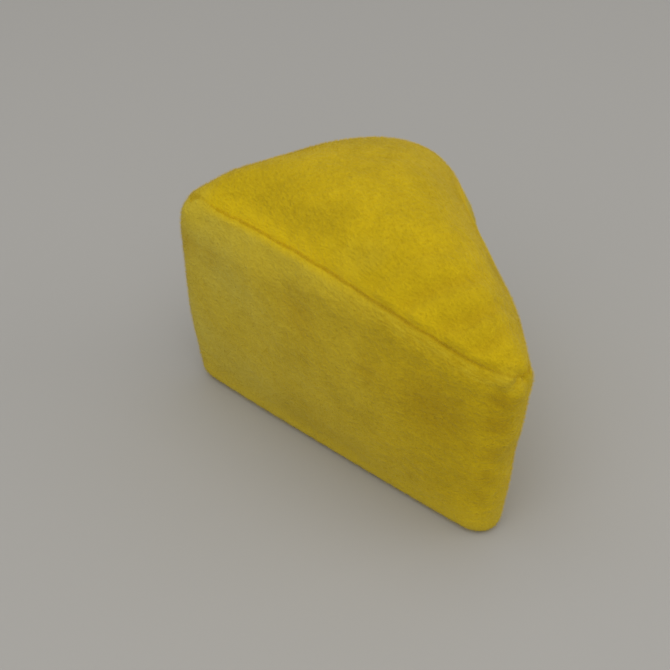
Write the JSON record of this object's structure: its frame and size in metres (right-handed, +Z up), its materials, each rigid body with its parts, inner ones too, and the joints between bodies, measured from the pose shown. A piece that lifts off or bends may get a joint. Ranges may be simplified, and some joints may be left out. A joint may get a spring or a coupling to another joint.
{
  "type": "plush toy cheese wedge",
  "caption": "Stuffed plush toy shaped as a wedge of cheese: domed top panel, wrap-round side strip and flat base, sewn along its edges.",
  "frame": {"origin": "middle of the bounding box's base, on the surface that the toy stands on", "axes": "+X from the broad back towards the wedge's tip, +Y towards the far long side, +Z up"},
  "size_m": [0.1116, 0.0808, 0.0776],
  "materials": {
    "plush": "short-pile yellow plush, matt with a soft sheen"
  },
  "bodies": {
    "root": {"plush_wedge": "plush"}
  },
  "joints": []
}
